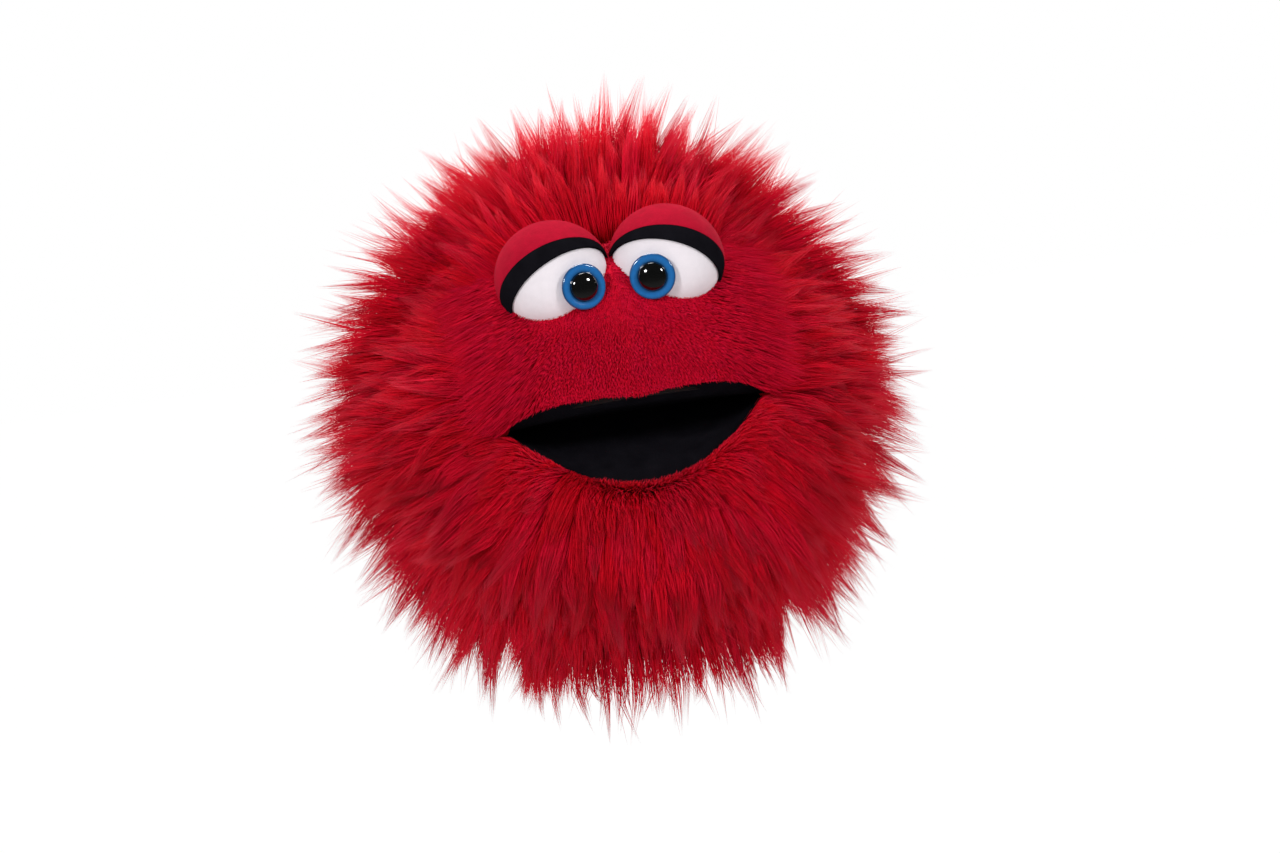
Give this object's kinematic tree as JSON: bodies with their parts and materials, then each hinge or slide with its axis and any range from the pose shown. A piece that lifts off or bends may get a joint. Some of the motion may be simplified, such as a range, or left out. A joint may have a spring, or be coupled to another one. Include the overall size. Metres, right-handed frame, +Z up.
{
  "type": "moving mouth puppet",
  "caption": "Ball-shaped long-fur hand puppet with a folding black mouth, short plush muzzle, stuffed eyes with felt lids and a short arm sleeve.",
  "frame": {"origin": "centre of the arm opening, in the plane of the hem's underside", "axes": "+Z up through the arm opening into the head, -Y the way the face looks, +X to the face's left"},
  "size_m": [0.292, 0.244, 0.298],
  "materials": {
    "red_fur": "matte",
    "red_plush": "matte",
    "red_felt": "matte",
    "red_knit": "matte",
    "black_felt": "matte",
    "white_fleece": "matte",
    "foam": "matte",
    "board": "matte",
    "blue_plastic": "gloss",
    "black_plastic": "gloss",
    "clear_plastic": "satin"
  },
  "bodies": {
    "head": {"head_foam": "foam", "hand_lining": "red_knit", "back_fur": "red_fur", "crown_fur": "red_fur", "muzzle_plush": "red_plush", "upper_mouth_felt": "black_felt", "upper_mouth_board": "board", "finger_pocket": "red_knit", "mouth_hinge_tape": "black_felt", "throat_gusset": "red_knit", "throat_fur": "red_fur", "left_side_fur": "red_fur", "left_cheek_gusset": "black_felt", "left_eye_pad": "white_fleece", "left_eyelid": "red_felt", "left_lash_band": "black_felt", "left_iris": "blue_plastic", "left_pupil": "black_plastic", "left_eye_shank": "clear_plastic", "left_eye_washer": "clear_plastic", "right_side_fur": "red_fur", "right_cheek_gusset": "black_felt", "right_eye_pad": "white_fleece", "right_eyelid": "red_felt", "right_lash_band": "black_felt", "right_iris": "blue_plastic", "right_pupil": "black_plastic", "right_eye_shank": "clear_plastic", "right_eye_washer": "clear_plastic"},
    "jaw": {"jaw_foam": "foam", "chin_fur": "red_fur", "lower_mouth_felt": "black_felt", "lower_mouth_board": "board", "thumb_pocket": "red_knit"},
    "sleeve": {"sleeve_cloth": "red_knit", "neck_cloth": "red_knit", "hem_binding": "red_knit", "skirt_fur": "red_fur"}
  },
  "joints": [
    {"name": "jaw_hinge", "type": "hinge", "parent": "head", "child": "jaw", "pos_m": [0, -0.03, 0.1115], "axis": [1, 0, 0], "range_deg": [-38, 15], "deforming": ["throat_gusset", "throat_fur", "left_cheek_gusset", "right_cheek_gusset"]},
    {"name": "neck_nod", "type": "hinge", "parent": "head", "child": "sleeve", "pos_m": [0, 0, 0.03], "axis": [1, 0, 0], "range_deg": [-15, 15], "deforming": ["neck_cloth", "skirt_fur"]}
  ]
}
